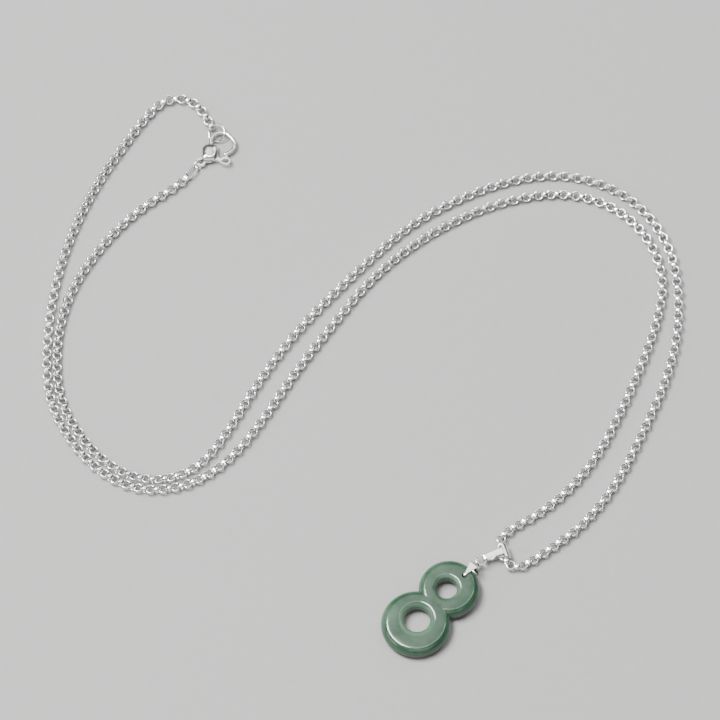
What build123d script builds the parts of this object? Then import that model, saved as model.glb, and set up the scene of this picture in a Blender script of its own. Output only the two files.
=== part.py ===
from build123d import *
from math import atan2, cos, degrees, pi, radians, sin, tan
import os

# Necklace: a polished jade 8 on a steel belcher chain with a lobster clasp, laid down in a doubled S.
# Millimetres. +Z is up from the surface that it lies on, +X runs along the longer side of the laid
# necklace, and the origin is on the surface under the middle of it.

# Jade
big_lobe_radius = 7.0
small_lobe_radius = 6.1
lobe_spacing = 9.95
jade_thickness = 3.0
jade_shoulder = 1.42
big_hole_radius = 2.6
big_hole_flare = 1.15
small_hole_radius = 2.1
small_hole_flare = 0.9
big_hole_inset = 0.7
small_hole_inset = 0.42
hole_shift = 0.35
peg_hole_radius = 0.55
peg_hole_from_edge = 2.156
pendant_direction = 228.4
peg_to_centre_direction = 218.7

# Pinch bail, through the jade's peg hole
pinch_direction = 230.0
pinch_length = 4.1
pinch_leaf = 2.95
pinch_strip = 0.3
pinch_width = 1.8
pinch_eye_width = 0.5
peg_depth = 0.7
peg_head_radius = 0.4
jade_clearance = 0.08

# Jump ring between the two bails
small_ring_mean_radius = 1.0
small_ring_wire = 0.18
small_ring_direction = 208.0
small_ring_slack = 0.08
pinch_eye_room = 0.1

# Chain bail
chain_bail_direction = 200.0
chain_bail_length = 3.6
chain_bail_strip = 0.3
chain_bail_width = 2.8
leaf_width = 1.3
leaf_tip_width = 0.8
chain_room = 0.2
bail_eye_room = 0.2

# Chain
chain_diameter = 1.94
chain_wire = 0.28
chain_band = 0.84
chain_gap = 0.05

# Ring that the claw holds
end_ring_mean_radius = 1.75
end_ring_wire = 0.19
end_ring_slope = 30.0
end_ring_rises_to = 26.0
end_ring_centre = (-29.26, 52.97)
end_ring_link_direction = 122.0

# Lobster clasp, drawn with its eye at the origin and its hook along +X
clasp_eye = (-32.4, 46.55)
clasp_direction = 31.7
clasp_thickness = 2.2
clasp_eye_radius = 0.95
clasp_eye_hole = 0.5
clasp_eye_thickness = 0.6
pebble_middle = (2.5, 0.75)
pebble_rim = [
    (0.2, 0.3), (1.2, 1.75), (2.0, 2.65), (2.9, 2.8), (3.9, 2.25), (4.6, 1.5), (4.35, 0.5), (3.75, -0.55),
    (2.9, -1.25), (1.7, -1.05), (0.7, -0.5),
]
pebble_fullness = 0.85
hook_radius = 0.4
hook_points = [
    (2.9, 1.3), (3.8, 2.4), (4.5, 3.3), (5.6, 3.75), (6.7, 3.55), (7.6, 2.7), (8.0, 1.35), (7.95, 0.15),
    (7.35, -0.75), (6.35, -1.12), (5.0, -1.1),
]
lever_thickness = 0.9
lever_side_gap = 0.08
lever_pivot = (2.55, -0.3)
lever_hub_radius = 0.6
pin_radius = 0.22
pin_length = 1.8
pin_press_gap = 0.01
pin_running_gap = 0.05
thumb_strip = 0.25
thumb_width = 1.0
thumb_points = [
    (3.1, -1.35), (3.34, -2.1), (3.8, -2.9), (4.4, -3.25), (4.95, -2.95), (5.03, -2.4), (4.6, -1.95),
    (3.65, -1.75),
]

# Ring and long link at the clasp's eye
clasp_ring_mean_radius = 0.92
clasp_ring_wire = 0.18
clasp_ring_lean = 35.0
clasp_side_direction = 226.0
long_link_direction = 231.0
long_link_length = 3.4
long_link_width = 1.7
long_link_wire = 0.18
touch_gap = 0.06

# Route of the chain's middle line as it lies, chosen by hand: x, y and, where it isn't lying on
# the surface, how far it is lifted. Both sides end at bail_seat, inside the chain bail.
bail_seat = (27.85, -39.2)
bail_lift = 0.35
ring_side_route = [
    (-30.87, 55.44), (-32.5, 58.7), (-35.9, 60.8), (-40.3, 60.1), (-44.1, 55.9), (-48.1, 50.1),
    (-52.9, 42.6), (-57.3, 33.7), (-60.8, 23.4), (-62.7, 13.1), (-63.4, 3.2), (-62.7, -5.7),
    (-58.9, -13.8), (-53.1, -21.0), (-45.5, -25.2), (-37.5, -25.1), (-30.3, -21.9), (-23.9, -15.7),
    (-18.4, -7.4), (-12.5, 2.1), (-5.9, 11.1), (1.1, 20.5), (9.1, 27.9), (18.5, 34.0),
    (28.7, 38.3), (39.5, 40.1), (49.5, 37.6), (56.9, 31.0), (60.5, 21.4), (59.1, 12.0),
    (55.7, 1.9), (51.7, -7.9), (46.9, -17.8), (41.5, -25.0), (34.9, -30.7), (30.0, -33.3),
    (26.83, -36.38, 0.35),
]
clasp_side_route = [
    (-36.14, 42.43), (-38.5, 40.4), (-43.1, 37.5), (-48.3, 33.0), (-53.5, 26.7), (-58.1, 19.2),
    (-60.7, 10.9), (-61.3, 2.8), (-60.7, -4.9), (-57.3, -12.3), (-51.7, -19.2), (-45.1, -22.9),
    (-38.3, -23.0), (-32.1, -19.7), (-27.5, -13.4), (-22.9, -5.1), (-17.9, 3.0), (-11.9, 11.1),
    (-5.3, 18.3), (1.7, 25.6), (9.3, 32.8), (18.1, 38.1), (27.9, 42.3), (38.1, 44.2),
    (47.5, 42.4), (55.7, 37.3), (61.5, 28.6), (63.4, 18.6), (63.0, 8.0), (60.5, -2.0),
    (56.1, -12.3), (51.0, -23.5), (44.3, -32.6), (37.3, -38.2), (33.3, -41.0),
    (30.5, -42.4, 0.15), (28.53, -41.08, 0.35),
]
corner_share = 0.45


def along(point, direction, distance):
    """The plan point that lies at distance from point, in a direction in degrees."""
    turn = radians(direction)
    return (point[0] + distance * cos(turn), point[1] + distance * sin(turn))


# Heights and places that follow from the sizes
chain_radius = chain_diameter / 2
lift_at_peg = pinch_strip + 1.5 * jade_clearance
peg_hole_from_small_centre = small_lobe_radius - peg_hole_from_edge
middle_height = lift_at_peg + jade_thickness / 2
pinch_eye_radius = small_ring_wire + pinch_eye_room
bail_eye_radius = small_ring_wire + bail_eye_room
loop_inner_radius = chain_radius + chain_room
loop_outer_radius = loop_inner_radius + chain_bail_strip
bail_ring_point = along(bail_seat, chain_bail_direction, chain_bail_length)
small_ring_centre = along(bail_ring_point, small_ring_direction, small_ring_mean_radius - small_ring_slack)
pinch_ring_point = along(small_ring_centre, pinch_direction, small_ring_mean_radius)
peg_hole = along(pinch_ring_point, pinch_direction, pinch_length)
small_centre = along(peg_hole, peg_to_centre_direction, peg_hole_from_small_centre)
big_centre = along(small_centre, pendant_direction, lobe_spacing)
big_hole = along(along(big_centre, pendant_direction, -big_hole_inset), pendant_direction - 90, hole_shift)
small_hole = along(along(small_centre, pendant_direction, small_hole_inset), pendant_direction - 90, hole_shift)
clasp_height = clasp_thickness / 2


def torus(x, y, z, mean_radius, wire, normal):
    """A round ring of round wire, about a normal through its centre."""
    return Plane(origin=(x, y, z), z_dir=normal) * Torus(mean_radius, wire)


def jade_eight():
    """Two rounded discs in one, with two flared holes and the peg hole."""
    lobes = []
    for centre, radius in ((big_centre, big_lobe_radius), (small_centre, small_lobe_radius)):
        disc = Pos(*centre, jade_thickness / 2) * Cylinder(radius, jade_thickness)
        lobes.append(fillet(disc.edges().filter_by(GeomType.CIRCLE), jade_shoulder))
    stone = lobes[0] + lobes[1]
    holes = ((big_hole, big_hole_radius, big_hole_flare), (small_hole, small_hole_radius, small_hole_flare))
    for centre, radius, flare in holes:
        stone -= Pos(*centre, jade_thickness / 2) * Cylinder(radius, 2 * jade_thickness)
        rims = [
            edge for edge in stone.edges().filter_by(GeomType.CIRCLE)
            if abs(edge.radius - radius) < 0.001 and edge.length > radius
        ]
        stone = fillet(rims, flare)
    stone -= Pos(*peg_hole, jade_thickness / 2) * Cylinder(peg_hole_radius, 2 * jade_thickness)
    # The back leg of the pinch bail lies under the small lobe, so the stone leans on its big lobe.
    contact = along(big_centre, pendant_direction, big_lobe_radius - jade_shoulder)
    reach = lobe_spacing + big_lobe_radius - jade_shoulder + peg_hole_from_small_centre
    lean = degrees(atan2(lift_at_peg, reach))
    hinge_line = Axis((*contact, 0), (*along((0, 0), pendant_direction + 90, 1), 0))
    return stone.rotate(hinge_line, lean)


def cut_to_plan(strip, half_outline, depth):
    """Keeps of a bent strip what lies inside a plan outline, given as its upper half in x and y."""
    lower = [(x, -y) for x, y in reversed(half_outline)]
    plan = make_face(Polyline(*half_outline, *lower, close=True))
    return strip & extrude(plan, amount=depth, both=True)


def pinch_bail():
    """A folded leaf, bent in its side view and cut to a triangle and an eye in plan."""
    leg = jade_thickness / 2 + jade_clearance + pinch_strip / 2
    fold = pinch_eye_radius + pinch_strip / 2
    peg_end = jade_thickness / 2 - peg_depth
    front = [
        (0, peg_end), (0, leg), (pinch_leaf, leg), (pinch_length - fold / 2, fold), (pinch_length + fold, fold)
    ]
    back = [(x, -y) for x, y in reversed(front)]
    sharp = 0.2
    radii = [sharp, fold, fold, 0.95 * fold, 0.95 * fold, fold, fold, sharp]
    side = Plane.XZ * FilletPolyline(*front, *back, radius=radii)
    strip = sweep(Plane(side @ 0, z_dir=side % 0) * Rectangle(pinch_strip, pinch_width + 1), path=side)
    eye = pinch_eye_width / 2
    half = pinch_width / 2
    end = pinch_length + fold + pinch_strip
    outline = [
        (-pinch_strip, eye * 0.7), (pinch_strip, eye * 0.7), (pinch_leaf - 0.1, half), (pinch_leaf + 0.1, half),
        (pinch_leaf + 0.3, eye), (end, eye),
    ]
    leaf = cut_to_plan(strip, outline, jade_thickness)
    for side_sign in (1, -1):
        leaf += Pos(0, 0, side_sign * jade_thickness / 2) * Sphere(peg_head_radius)
    return Pos(*peg_hole, middle_height) * Rot(Z=pinch_direction - 180) * leaf


def chain_bail():
    """A strip bent round the chain and the jump ring, its plan narrow at the ring and wide at the chain."""
    ring_rise = middle_height - loop_outer_radius

    def profile(loop_radius, ring_radius):
        loop = Edge.make_circle(loop_radius)
        eye = Edge.make_circle(ring_radius).moved(Location((chain_bail_length, ring_rise, 0)))
        return make_hull([loop, eye])

    side = profile(loop_outer_radius, bail_eye_radius + chain_bail_strip)
    side -= profile(loop_inner_radius, bail_eye_radius)
    strip = Rot(X=90) * extrude(side, amount=chain_bail_width, both=True)
    tip = chain_bail_length + bail_eye_radius + 2 * chain_bail_strip
    neck = -loop_outer_radius / 8
    outline = [
        (-2 * loop_outer_radius, chain_bail_width / 2), (neck - 0.05, chain_bail_width / 2),
        (neck, leaf_width / 2), (tip - 0.5, leaf_tip_width / 2), (tip, leaf_tip_width / 2),
    ]
    band = cut_to_plan(strip, outline, 2 * loop_outer_radius)
    return Pos(*bail_seat, loop_outer_radius) * Rot(Z=chain_bail_direction) * band


def small_ring():
    return torus(*small_ring_centre, middle_height, small_ring_mean_radius, small_ring_wire, (0, 0, 1))


def route_line(route, name):
    """Straight runs joined by tangent arcs through the hand-chosen points, ending at the bail's seat."""
    lifts = [point[2] if len(point) > 2 else 0 for point in route]
    points = [Vector(point[0], point[1], chain_radius + lift) for point, lift in zip(route, lifts)]
    seat = Vector(*bail_seat, chain_radius + bail_lift)
    points.append(seat - (seat - points[-1]).normalized() * chain_gap / 2)
    radii = []
    for before, corner, after in zip(points, points[1:], points[2:]):
        turn = radians((corner - before).get_angle(after - corner))
        shorter = min((corner - before).length, (after - corner).length)
        radii.append(corner_share * shorter / tan(turn / 2))
    line = FilletPolyline(*points, radius=radii)
    print(name, "length", round(line.length, 1), "radii", [round(r, 1) for r in radii])
    return line


def chain_side(route, name):
    """The round space that the links of one side of the chain fill."""
    line = route_line(route, name)
    tube = sweep(Plane(line @ 0, z_dir=line % 0) * Circle(chain_radius), path=line)
    smooth_volume = pi * chain_radius**2 * line.length
    print(name, "volume over section times length", round(tube.volume / smooth_volume, 4))
    return tube


def end_link(route, direction):
    """The last upright link of the chain, just off the end of its tube and turned to what it holds."""
    start = Vector(*route[0], chain_radius)
    heading = (start - Vector(*route[1], chain_radius)).normalized()
    centre = start + heading * (chain_radius + chain_gap)
    band = Cylinder(chain_radius, chain_band) - Cylinder(chain_radius - chain_wire, chain_band)
    band = fillet(band.edges().filter_by(GeomType.CIRCLE), chain_wire * 0.4)
    return Plane(origin=centre, z_dir=(*along((0, 0), direction + 90, 1), 0)) * band


def end_ring():
    """Lies over one side of the hook and under the other, sloping between them."""
    slope = radians(end_ring_slope)
    towards = along((0, 0), end_ring_rises_to + 180, sin(slope))
    return torus(*end_ring_centre, clasp_height, end_ring_mean_radius, end_ring_wire, (*towards, cos(slope)))


def at_clasp(shape):
    """Puts a clasp piece, drawn with the eye at its origin and the hook along +X, where it lies."""
    return Pos(*clasp_eye, clasp_height) * Rot(Z=clasp_direction) * shape


def clasp_body():
    """One casting: pebble, eye and hook, slotted for the lever and drilled for its pin."""
    dome = clasp_thickness / 2
    sections = []
    for slope in (-88, -80, -65, -45, -23, 0, 23, 45, 65, 80, 88):
        share = cos(radians(slope)) ** pebble_fullness
        level = abs(sin(radians(slope))) ** pebble_fullness
        points = [tuple(m + share * (r - m) for r, m in zip(point, pebble_middle)) for point in pebble_rim]
        height = dome * (level if slope > 0 else -level)
        sections.append(Pos(0, 0, height) * make_face(Spline(*points, periodic=True)))
    pebble = loft(sections)
    eye = Cylinder(clasp_eye_radius, clasp_eye_thickness)
    hook_line = Spline(*hook_points)
    hook_tip = Pos(*hook_points[-1], 0)
    hook = sweep(Plane(hook_line @ 0, z_dir=hook_line % 0) * Circle(hook_radius), path=hook_line)
    hook += hook_tip * Sphere(hook_radius)
    eye_hole = Cylinder(clasp_eye_hole, 2 * clasp_thickness)
    slot_height = lever_thickness + 2 * lever_side_gap
    slot_reach = lever_hub_radius + lever_side_gap
    slot = Pos(lever_pivot[0] - slot_reach, lever_pivot[1] + slot_reach, 0) * Box(
        4, 4, slot_height, align=(Align.MIN, Align.MAX, Align.CENTER)
    )
    slot -= hook_tip * Pos(X=-hook_radius) * Box(4, 8, 4, align=(Align.MIN, Align.CENTER, Align.CENTER))
    pin_hole = Pos(*lever_pivot, 0) * Cylinder(pin_radius + pin_press_gap, 2 * clasp_thickness)
    return at_clasp(pebble + eye + hook - slot - eye_hole - pin_hole)


def clasp_lever():
    """The gate, its hub and the thumb strip curled back on itself, one piece."""
    hub = Pos(*lever_pivot) * Circle(lever_hub_radius)
    hook_tip = hook_points[-1]
    gate_top = hook_tip[1] - hook_radius - lever_side_gap
    gate_end = hook_tip[0] + hook_radius / 2
    arm = make_face(
        Polyline(
            (lever_pivot[0] - 0.25, lever_pivot[1] - 0.5), (lever_pivot[0] + 0.4, lever_pivot[1] + 0.4),
            (3.7, gate_top + 0.1), (4.2, gate_top), (gate_end, gate_top), (gate_end - 0.2, gate_top - 0.4),
            (3.4, gate_top - 0.35), close=True,
        )
    )
    gate = extrude(hub + arm, amount=lever_thickness / 2, both=True)
    thumb_line = Spline(*thumb_points)
    strip = Plane(thumb_line @ 0, x_dir=(0, 0, 1), z_dir=thumb_line % 0) * Rectangle(thumb_width, thumb_strip)
    thumb = sweep(strip, path=thumb_line)
    bore = Pos(*lever_pivot, 0) * Cylinder(pin_radius + pin_running_gap, 2 * clasp_thickness)
    return at_clasp(gate + thumb - bore)


def clasp_pin():
    return at_clasp(Pos(*lever_pivot, 0) * Cylinder(pin_radius, pin_length))


def clasp_ring():
    """Stands leaning in the eye, its near wire in the hole and its far wire in the long link."""
    centre = along(clasp_eye, clasp_side_direction, clasp_ring_mean_radius)
    lean = radians(clasp_ring_lean)
    across = along((0, 0), clasp_side_direction + 90, cos(lean))
    return torus(*centre, clasp_height, clasp_ring_mean_radius, clasp_ring_wire, (*across, sin(lean)))


def long_link():
    """A flat oval of round wire, held by the jump ring at one end and the chain at the other."""
    far_wire = along(clasp_eye, clasp_side_direction, 2 * clasp_ring_mean_radius)
    grip = clasp_ring_wire + touch_gap - (long_link_length / 2 - 2 * long_link_wire)
    centre = along(far_wire, long_link_direction, -grip)
    straight = (long_link_length - long_link_width) / 2
    bend = long_link_width / 2 - long_link_wire
    loop = SlotCenterToCenter(2 * straight, 2 * bend).wire()
    oval = sweep(Plane(loop @ 0, z_dir=loop % 0) * Circle(long_link_wire), path=loop)
    return Pos(*centre, chain_radius + 0.1) * Rot(Z=long_link_direction) * oval


pieces = {
    "jade_eight": jade_eight(),
    "pinch_bail": pinch_bail(),
    "pinch_ring": small_ring(),
    "chain_bail": chain_bail(),
    "chain_ring_side": chain_side(ring_side_route, "chain_ring_side"),
    "chain_clasp_side": chain_side(clasp_side_route, "chain_clasp_side"),
    "end_link_ring": end_link(ring_side_route, end_ring_link_direction),
    "end_link_clasp": end_link(clasp_side_route, long_link_direction),
    "end_ring": end_ring(),
    "clasp_body": clasp_body(),
    "clasp_lever": clasp_lever(),
    "clasp_pin": clasp_pin(),
    "clasp_ring": clasp_ring(),
    "long_link": long_link(),
}

os.makedirs("parts", exist_ok=True)
for name, piece in pieces.items():
    export_step(piece, f"parts/{name}.step")
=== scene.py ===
from math import cos, pi, radians, sin

import bmesh
import bpy
from mathutils import Matrix, Vector


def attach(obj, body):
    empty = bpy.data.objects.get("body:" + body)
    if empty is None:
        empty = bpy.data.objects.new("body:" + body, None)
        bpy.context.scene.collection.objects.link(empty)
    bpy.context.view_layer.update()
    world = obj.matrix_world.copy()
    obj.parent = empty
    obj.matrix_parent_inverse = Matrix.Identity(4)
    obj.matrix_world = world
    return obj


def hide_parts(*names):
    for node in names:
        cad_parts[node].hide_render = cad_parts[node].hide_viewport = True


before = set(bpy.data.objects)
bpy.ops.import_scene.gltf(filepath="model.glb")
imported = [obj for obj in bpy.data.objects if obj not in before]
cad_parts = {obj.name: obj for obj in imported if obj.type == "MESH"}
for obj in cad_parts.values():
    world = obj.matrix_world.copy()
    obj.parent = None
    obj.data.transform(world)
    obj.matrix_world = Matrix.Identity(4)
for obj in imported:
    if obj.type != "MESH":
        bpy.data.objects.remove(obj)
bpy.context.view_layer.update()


# The stone: one piece of polished green jade in the shape of an 8, cloudy inside. Where it faces up it is
# painted paler, a painted sheen, and its walls are painted a deeper green, a painted shade. Nothing is fixed
# to it: the pinch bail only grips it by a drilled hole.

MM = 0.001
DARK_FACE = (0.008, 0.033, 0.015, 1)
PALE_FACE = (0.027, 0.062, 0.035, 1)
# The walls' deeper green, painted shade.
SHADED_WALL_GREEN = (0.027, 0.067, 0.038, 1)
# The rims' paler green, painted light that comes through the thin stone.
LIT_RIM_GREEN = (0.062, 0.118, 0.076, 1)
# How much paler the pale places are made: partly cloudier stone, partly painted sheen.
PALER_AND_SHEEN_BY = (1.75, 1.5, 1.6, 1)
SPECK_GREEN = (0.06, 0.1, 0.07, 1)
# For each ring of the 8, in mm: the middle and the radius of the circle halfway from hole to edge.
RING_CIRCLES = (((10.8, -54.3, 0), 4.66), ((17.0, -47.3, 0), 3.84))
# The places where the stone is cloudier and paler, partly painted sheen where the light falls, in mm: the
# middle and how far it reaches.
PALE_AND_SHEEN_PLACES = (((3.0, -51.0, 0), 8.0), ((12.0, -43.5, 0), 5.5))


def node(tree, kind, links=None, **values):
    """A node with its inputs linked (or set) by name or number, and its properties set."""
    made = tree.nodes.new(kind)
    for key, value in values.items():
        setattr(made, key, value)
    for key, value in (links or {}).items():
        if isinstance(value, bpy.types.NodeSocket):
            tree.links.new(value, made.inputs[key])
        else:
            made.inputs[key].default_value = value
    return made


def noise(tree, vector, scale, detail, output="Fac", **sockets):
    """Noise over a vector, as a socket."""
    links = {"Vector": vector, "Scale": scale, "Detail": detail, **sockets}
    return node(tree, "ShaderNodeTexNoise", links).outputs[output]


def ramp(tree, value, low, high, at_low=0.0, at_high=1.0, ease="LINEAR"):
    """A value that goes from at_low to at_high while its input goes from low to high, as a socket."""
    links = {"Value": value, "From Min": low, "From Max": high, "To Min": at_low, "To Max": at_high}
    return node(tree, "ShaderNodeMapRange", links, interpolation_type=ease).outputs[0]


def mixed(tree, factor, first, second, way="MIX"):
    """Two colours mixed by a factor, as a socket."""
    links = {"Factor": factor, 6: first, 7: second}
    return node(tree, "ShaderNodeMix", links, data_type="RGBA", blend_type=way).outputs[2]


def maths(tree, operation, *values):
    """The result of a calculation with two or three values, as a socket."""
    return node(tree, "ShaderNodeMath", dict(enumerate(values)), operation=operation).outputs[0]


def vector_maths(tree, operation, first, second, output="Vector"):
    """The result of a calculation with two vectors, as a socket."""
    return node(tree, "ShaderNodeVectorMath", {0: first, 1: second}, operation=operation).outputs[output]


def material(name, **fixed):
    """A Principled material with its constant sockets set, and its tree, shader and object coordinates."""
    made = bpy.data.materials.new(name)
    made.use_nodes = True
    tree = made.node_tree
    shader = tree.nodes["Principled BSDF"]
    for key, value in fixed.items():
        shader.inputs[key.replace("_", " ")].default_value = value
    return made, tree, shader, tree.nodes.new("ShaderNodeTexCoord").outputs["Object"]


def wear(node_name, made):
    """Gives a CAD node a material in every slot."""
    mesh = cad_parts[node_name].data
    mesh.materials.clear()
    mesh.materials.append(made)


jade, tree, shader, place = material(
    "jade", IOR=1.52, Subsurface_Weight=0.35, Subsurface_Scale=0.0015,
)
shader.inputs["Subsurface Radius"].default_value = (0.5, 1.0, 0.55)
facing = node(tree, "ShaderNodeSeparateXYZ", {0: tree.nodes["Texture Coordinate"].outputs["Normal"]})
facing_up = facing.outputs["Z"]

# Clouds drift through the stone, and they show most on its faces.
drift = noise(tree, place, 170.0, 4.0, "Color", Roughness=0.55)
bent = vector_maths(tree, "ADD", place, vector_maths(tree, "MULTIPLY", drift, (0.003, 0.003, 0.003)))
cloud = ramp(tree, noise(tree, bent, 260.0, 5.0, Roughness=0.6), 0.34, 0.68)
face = mixed(tree, cloud, DARK_FACE, PALE_FACE)
# Painted sheen and painted shade: the stone is paler where it faces up and a deeper green on its walls.
tint = mixed(tree, ramp(tree, facing_up, 0.3, 1.0, ease="SMOOTHSTEP"), SHADED_WALL_GREEN, face)

# How far a place is outside the middle circle of each ring, in mm, and less than nothing inside it.
flat = vector_maths(tree, "MULTIPLY", place, (1 / MM, 1 / MM, 0))
reaches = []
for ring_middle, ring_radius in RING_CIRCLES:
    away = vector_maths(tree, "DISTANCE", flat, ring_middle, "Value")
    reaches.append(maths(tree, "SUBTRACT", away, ring_radius))

# The flared rims of the holes are the thinnest stone, so light from below comes through them: that light is
# painted on them as a paler green.
lit_rim = ramp(tree, maths(tree, "MINIMUM", *reaches), -1.5, -0.9, 1.0, 0.0)
lit_rim = maths(tree, "MULTIPLY", lit_rim, ramp(tree, facing_up, 0.1, 0.5))
tint = mixed(tree, lit_rim, tint, LIT_RIM_GREEN)

# The paler places, partly cloudier stone and partly painted sheen, and small pale specks all through the
# stone.
pale_and_sheen_patches = []
for patch_middle, patch_reach in PALE_AND_SHEEN_PLACES:
    away = vector_maths(tree, "DISTANCE", flat, patch_middle, "Value")
    pale_and_sheen_patches.append(ramp(tree, away, 1.0, patch_reach, 1.0, 0.0, "SMOOTHSTEP"))
tint = mixed(tree, maths(tree, "MAXIMUM", *pale_and_sheen_patches), tint, PALER_AND_SHEEN_BY, "MULTIPLY")
speck = node(tree, "ShaderNodeTexVoronoi", {"Vector": bent, "Scale": 900.0}).outputs["Distance"]
tint = mixed(tree, ramp(tree, speck, 0.0, 0.16, 0.22, 0.0), tint, SPECK_GREEN)
tree.links.new(tint, shader.inputs["Base Color"])

# The polish is a little uneven, and the underside is left duller.
swirl = noise(tree, place, 420.0, 3.0)
polish = ramp(tree, swirl, 0.0, 1.0, 0.1, 0.24)
polish = maths(tree, "ADD", polish, ramp(tree, facing_up, -0.3, 0.15, 0.45, 0.0))
tree.links.new(polish, shader.inputs["Roughness"])

# The face is polished a little round: it falls away from the middle circle of each ring.
falls = [maths(tree, "ABSOLUTE", reach) for reach in reaches]
fall = maths(tree, "POWER", maths(tree, "SMOOTH_MIN", *falls, 0.8), 2.0)
crown = node(tree, "ShaderNodeBump", {"Height": fall, "Distance": 0.00004}, invert=True)
dent = node(
    tree, "ShaderNodeBump",
    {"Height": swirl, "Strength": 0.12, "Distance": 0.0003, "Normal": crown.outputs[0]},
)
tree.links.new(dent.outputs[0], shader.inputs["Normal"])
wear("jade_eight", jade)


# The pinch bail: a leaf of thin polished steel strip folded in two. Its two points end in small round
# pegs that are squeezed into the jade's drilled hole, front and back.

DULL_STEEL = (0.33, 0.32, 0.31, 1)


def group(name, inputs, outputs):
    """An empty shader node group. inputs: name, socket type, default. outputs: name, socket type."""
    tree = bpy.data.node_groups.new(name, "ShaderNodeTree")
    for label, kind, default in inputs:
        socket = tree.interface.new_socket(name=label, in_out="INPUT", socket_type=kind)
        socket.default_value = default
    for label, kind in outputs:
        tree.interface.new_socket(name=label, in_out="OUTPUT", socket_type=kind)
    return tree, tree.nodes.new("NodeGroupInput").outputs, tree.nodes.new("NodeGroupOutput").inputs


# Handled steel: large smudges change its gloss, fine wipe marks run in all directions, and tumbling
# leaves its flats a little uneven.
handled, given, wanted = group(
    "handled_steel",
    [("Vector", "NodeSocketVector", (0, 0, 0)), ("Smudge", "NodeSocketFloat", 0.12),
     ("Base", "NodeSocketFloat", 0.1), ("Uneven", "NodeSocketFloat", 40.0),
     ("Tone", "NodeSocketColor", (0.62, 0.61, 0.59, 1))],
    [("Color", "NodeSocketColor"), ("Roughness", "NodeSocketFloat"), ("Height", "NodeSocketFloat")],
)
smudge = noise(handled, given["Vector"], 900.0, 3.0, Roughness=0.6)
wipe = noise(handled, given["Vector"], 5200.0, 2.0, Distortion=1.5)
uneven = noise(handled, given["Vector"], 620.0, 1.0)
gloss = maths(handled, "MULTIPLY_ADD", smudge, given["Smudge"], given["Base"])
darker = mixed(handled, ramp(handled, smudge, 0.3, 0.75, 0.0, 0.35), given["Tone"], DULL_STEEL)
relief = maths(handled, "MULTIPLY_ADD", uneven, given["Uneven"], wipe)
for label, result in (("Color", darker), ("Roughness", gloss), ("Height", relief)):
    handled.links.new(result, wanted[label])


def steel(name, tone, base, smudge_amount, uneven_amount):
    """Polished stainless steel: the handled effect with its own tone, gloss and unevenness."""
    made, tree, shader, place = material(name, Metallic=1.0)
    effect = node(
        tree, "ShaderNodeGroup",
        {"Vector": place, "Tone": (*tone, 1), "Base": base, "Smudge": smudge_amount, "Uneven": uneven_amount},
        node_tree=handled,
    )
    tree.links.new(effect.outputs["Color"], shader.inputs["Base Color"])
    tree.links.new(effect.outputs["Roughness"], shader.inputs["Roughness"])
    dent = node(
        tree, "ShaderNodeBump", {"Height": effect.outputs["Height"], "Strength": 0.12, "Distance": 0.00001}
    )
    tree.links.new(dent.outputs[0], shader.inputs["Normal"])
    return made


bail_steel = steel("bail_steel", (0.86, 0.85, 0.83), 0.1, 0.14, 50)
wear("pinch_bail", bail_steel)


# The small jump ring: polished round steel wire bent to a circle and soldered shut. It joins the two
# bails and is free to turn in both.

ring_steel = steel("ring_steel", (0.93, 0.93, 0.92), 0.08, 0.12, 10)
wear("pinch_ring", ring_steel)


# The chain bail: a second folded steel strip, narrow where it holds the jump ring and wide where it
# loops over the chain, which slides through it.

wear("chain_bail", bail_steel)


# The chain: round belcher links of flat steel band, each at a right angle to the next, closed by the
# clasp. It lies doubled in an S with its middle in the chain bail, and rolls a little as it bends.

LINK_RADIUS = 0.97 * MM
LINK_WALL = 0.28 * MM
LINK_BAND = 0.84 * MM
LINK_PITCH = 1.25 * MM
LINK_GAP = 0.05 * MM
LINK_SIDES = 28
BAND_CORNER = 0.11 * MM
CORNER_POINTS = 3
ROUTE_STEPS = 24

# The routes of the two sides, in mm, from the ends to the chain bail. A point without a height is on
# the surface.
BAIL_SEAT = (27.85, -39.2, 1.32)
RING_SIDE = [
    (-30.87, 55.44), (-32.5, 58.7), (-35.9, 60.8), (-40.3, 60.1), (-44.1, 55.9), (-48.1, 50.1),
    (-52.9, 42.6), (-57.3, 33.7), (-60.8, 23.4), (-62.7, 13.1), (-63.4, 3.2), (-62.7, -5.7),
    (-58.9, -13.8), (-53.1, -21.0), (-45.5, -25.2), (-37.5, -25.1), (-30.3, -21.9), (-23.9, -15.7),
    (-18.4, -7.4), (-12.5, 2.1), (-5.9, 11.1), (1.1, 20.5), (9.1, 27.9), (18.5, 34.0),
    (28.7, 38.3), (39.5, 40.1), (49.5, 37.6), (56.9, 31.0), (60.5, 21.4), (59.1, 12.0),
    (55.7, 1.9), (51.7, -7.9), (46.9, -17.8), (41.5, -25.0), (34.9, -30.7), (30.0, -33.3),
    (26.83, -36.38, 1.32), BAIL_SEAT,
]
CLASP_SIDE = [
    (-36.14, 42.43), (-38.5, 40.4), (-43.1, 37.5), (-48.3, 33.0), (-53.5, 26.7), (-58.1, 19.2),
    (-60.7, 10.9), (-61.3, 2.8), (-60.7, -4.9), (-57.3, -12.3), (-51.7, -19.2), (-45.1, -22.9),
    (-38.3, -23.0), (-32.1, -19.7), (-27.5, -13.4), (-22.9, -5.1), (-17.9, 3.0), (-11.9, 11.1),
    (-5.3, 18.3), (1.7, 25.6), (9.3, 32.8), (18.1, 38.1), (27.9, 42.3), (38.1, 44.2),
    (47.5, 42.4), (55.7, 37.3), (61.5, 28.6), (63.4, 18.6), (63.0, 8.0), (60.5, -2.0),
    (56.1, -12.3), (51.0, -23.5), (44.3, -32.6), (37.3, -38.2), (33.3, -41.0), (30.5, -42.4, 1.12),
    (28.53, -41.08, 1.32), BAIL_SEAT,
]
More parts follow.
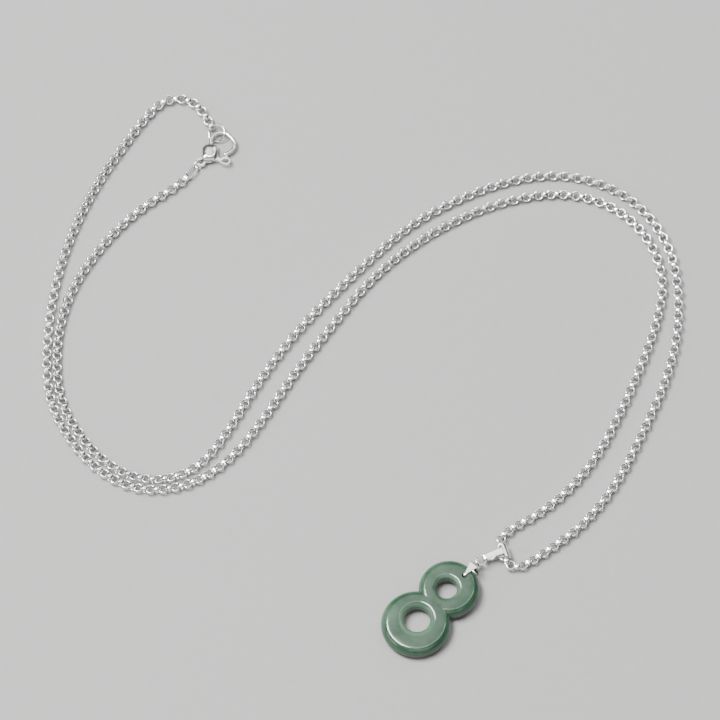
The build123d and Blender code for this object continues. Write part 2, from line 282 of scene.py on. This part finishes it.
# How far the chain is rolled about its own line, in degrees, at shares of each side's length.
RING_SIDE_ROLL = [
    (0.0, 0), (0.1, 38), (0.22, 12), (0.34, 6), (0.5, -12), (0.62, -38), (0.72, -14), (0.8, 0), (1.0, 4),
]
CLASP_SIDE_ROLL = [
    (0.0, 4), (0.1, 30), (0.24, 8), (0.38, -6), (0.52, -20), (0.66, -36), (0.76, -10), (0.84, 0), (1.0, 4),
]


def smooth_line(points):
    """The points of the NURBS curve that a list of control points in millimetres shapes."""
    curve = bpy.data.curves.new("route", "CURVE")
    curve.dimensions = "3D"
    spline = curve.splines.new("NURBS")
    spline.points.add(len(points) - 1)
    for control, point in zip(spline.points, points):
        height = point[2] if len(point) > 2 else LINK_RADIUS / MM
        control.co = (point[0] * MM, point[1] * MM, height * MM, 1)
    spline.order_u = 3
    spline.use_endpoint_u = True
    spline.resolution_u = ROUTE_STEPS
    carrier = bpy.data.objects.new("route", curve)
    bpy.context.scene.collection.objects.link(carrier)
    bpy.context.view_layer.update()
    read = bpy.data.meshes.new_from_object(carrier)
    line = [vertex.co.copy() for vertex in read.vertices]
    bpy.data.objects.remove(carrier)
    bpy.data.curves.remove(curve)
    bpy.data.meshes.remove(read)
    return line


def stations(line, distances):
    """For each distance along the line, in rising order: the point there and the heading."""
    found = []
    index, walked = 0, 0.0
    for distance in distances:
        while index < len(line) - 2 and walked + (line[index + 1] - line[index]).length < distance:
            walked += (line[index + 1] - line[index]).length
            index += 1
        step = line[index + 1] - line[index]
        found.append((line[index] + step.normalized() * (distance - walked), step.normalized()))
    return found


def between(keys, share):
    """The value at a share of the way, eased between the given keys."""
    for (low, first), (high, last) in zip(keys, keys[1:]):
        if share <= high:
            ease = (share - low) / (high - low)
            return first + (last - first) * ease * ease * (3 - 2 * ease)
    return keys[-1][1]


def band_section():
    """The link's section, as (out from the link's middle circle, along the link's axis)."""
    section = []
    half_wall, half_band = LINK_WALL / 2 - BAND_CORNER, LINK_BAND / 2 - BAND_CORNER
    for corner, (across, up) in enumerate(((1, 1), (-1, 1), (-1, -1), (1, -1))):
        for step in range(CORNER_POINTS):
            turn = pi / 2 * (corner + step / (CORNER_POINTS - 1))
            section.append(
                (across * half_wall + BAND_CORNER * cos(turn), up * half_band + BAND_CORNER * sin(turn))
            )
    return section


def chain_links(name, points, roll_keys, replaced):
    """All the links of one side of the chain as one mesh, laid along its route."""
    line = smooth_line(points)
    length = sum((after - before).length for before, after in zip(line, line[1:]))
    # The first link is one pitch on from the end link, whose middle lies before the route. The last is
    # half a pitch short of the bail seat, as the other side's last link is.
    first = LINK_PITCH - LINK_RADIUS - LINK_GAP
    count = round((length - first) / LINK_PITCH + 0.5)
    pitch = (length - first) / (count - 0.5)
    middle = LINK_RADIUS - LINK_WALL / 2
    section = band_section()
    mesh = bmesh.new()
    places = stations(line, [first + pitch * step for step in range(count)])
    for step, (centre, heading) in enumerate(places):
        share = (first + pitch * step) / length
        side = Vector((-heading.y, heading.x, 0)).normalized()
        up = heading.cross(side).normalized()
        roll = radians(between(roll_keys, share) + 90 * (step % 2))
        axis = up * cos(roll) + side * sin(roll)
        other = axis.cross(heading)
        rings = []
        for around in range(LINK_SIDES):
            turn = 2 * pi * around / LINK_SIDES
            out = heading * cos(turn) + other * sin(turn)
            rings.append(
                [mesh.verts.new(centre + out * (middle + far) + axis * high) for far, high in section]
            )
        for ring, following in zip(rings, rings[1:] + rings[:1]):
            for near, far in zip(range(len(section)), list(range(1, len(section))) + [0]):
                mesh.faces.new((ring[near], following[near], following[far], ring[far])).smooth = True
    bmesh.ops.recalc_face_normals(mesh, faces=mesh.faces)
    data = bpy.data.meshes.new(name)
    mesh.to_mesh(data)
    mesh.free()
    piece = bpy.data.objects.new(name, data)
    bpy.context.scene.collection.objects.link(piece)
    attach(piece, "necklace")
    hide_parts(replaced)
    print(name, "links", count, "pitch", round(pitch / MM, 4), "length", round(length / MM, 1))
    return piece


chain_steel = steel("chain_steel", (0.86, 0.86, 0.85), 0.1, 0.14, 40)
for piece in (
    chain_links("ring_side_links", RING_SIDE, RING_SIDE_ROLL, "chain_ring_side"),
    chain_links("clasp_side_links", CLASP_SIDE, CLASP_SIDE_ROLL, "chain_clasp_side"),
):
    piece.data.materials.append(chain_steel)
wear("end_link_ring", chain_steel)
wear("end_link_clasp", chain_steel)


# The end ring: heavier round steel wire, bent to a circle through the chain's last link and soldered
# shut. The clasp's claw holds it.

wear("end_ring", ring_steel)


# The clasp: a small polished steel casting with its hook and eye, a sprung lever that closes the hook,
# and the rivet that the lever turns on.

clasp_steel = steel("clasp_steel", (0.82, 0.8, 0.77), 0.11, 0.12, 120)
wear("clasp_body", clasp_steel)
wear("clasp_lever", clasp_steel)
wear("clasp_pin", clasp_steel)


# The jump ring in the clasp's eye and the long link that the chain's other end hangs on: both are
# round steel wire, bent to shape and soldered shut.

wear("clasp_ring", ring_steel)
wear("long_link", ring_steel)


# The surface, the lights and the camera: a plain pale floor under soft lamps, looked down on from the
# front.

FLOOR_HALF = 4.0
FLOOR_TOP = -0.04 * MM
CAMERA_ELEVATION = radians(66)
CAMERA_DISTANCE = 6.0
CAMERA_AIM = Vector((-0.0005, 0.00365, 0))
FRAME_WIDTH = 0.144
SENSOR_WIDTH = 36


def floor_piece():
    """The pale floor, just below the necklace."""
    data = bpy.data.meshes.new("floor")
    corners = ((-1, -1), (1, -1), (1, 1), (-1, 1))
    data.from_pydata([(x * FLOOR_HALF, y * FLOOR_HALF, FLOOR_TOP) for x, y in corners], [], [(0, 1, 2, 3)])
    made = bpy.data.objects.new("floor", data)
    bpy.context.scene.collection.objects.link(made)
    paper, tree, shader, place = material("floor_paper", Roughness=0.75)
    tone = mixed(tree, noise(tree, place, 700.0, 5.0), (0.222, 0.222, 0.218, 1), (0.245, 0.245, 0.24, 1))
    tree.links.new(tone, shader.inputs["Base Color"])
    data.materials.append(paper)


def area_light(name, towards, distance, size, power, length=None, along=(0, 0, 1), spread=180):
    """A soft area light facing the middle of the necklace, its length turned to a direction."""
    data = bpy.data.lights.new(name, "AREA")
    data.energy = power
    data.shape = "RECTANGLE" if length else "SQUARE"
    data.size = size
    data.size_y = length or size
    data.spread = radians(spread)
    made = bpy.data.objects.new(name, data)
    facing = Vector(towards).normalized()
    across = Vector(along).cross(facing).normalized()
    made.matrix_world = Matrix((across, facing.cross(across), facing)).transposed().to_4x4()
    made.location = facing * distance
    bpy.context.scene.collection.objects.link(made)


floor_piece()
area_light("key", (-0.36, 0.08, 0.93), 1.2, 0.4, 48.0, 0.66, (-0.37, 0.42, -0.17))
area_light("right_strip", (0.28, 0.06, 0.93), 1.2, 0.07, 5.0, 1.0, (0.68, 0.54, -0.21))
area_light("overhead", (-0.02, 0.42, 0.9), 1.6, 1.8, 3.4, 2.0, (1, 0, 0), spread=64)
area_light("back_right", (0.52, 0.6, 0.61), 1.5, 0.5, 3.2)
area_light("left_soft", (-0.85, -0.3, 0.45), 1.4, 0.5, 8.0, 0.9, (0.3, -0.85, 0))
area_light("front_soft", (0.15, -0.72, 0.68), 1.5, 1.0, 5.5, 1.4, (1, 0, 0))
world = bpy.data.worlds.new("studio")
world.use_nodes = True
sky = world.node_tree.nodes["Background"].inputs
sky["Color"].default_value = (0.8, 0.82, 0.85, 1)
sky["Strength"].default_value = 0.18
bpy.context.scene.world = world

lens = bpy.data.cameras.new("camera")
lens.sensor_width = SENSOR_WIDTH
lens.lens = SENSOR_WIDTH * CAMERA_DISTANCE / FRAME_WIDTH
lens.clip_start = 0.5
lens.clip_end = 40
camera = bpy.data.objects.new("camera", lens)
camera.location = CAMERA_AIM + CAMERA_DISTANCE * Vector(
    (0, -cos(CAMERA_ELEVATION), sin(CAMERA_ELEVATION))
)
camera.rotation_euler = (pi / 2 - CAMERA_ELEVATION, 0, 0)
bpy.context.scene.collection.objects.link(camera)
bpy.context.scene.camera = camera
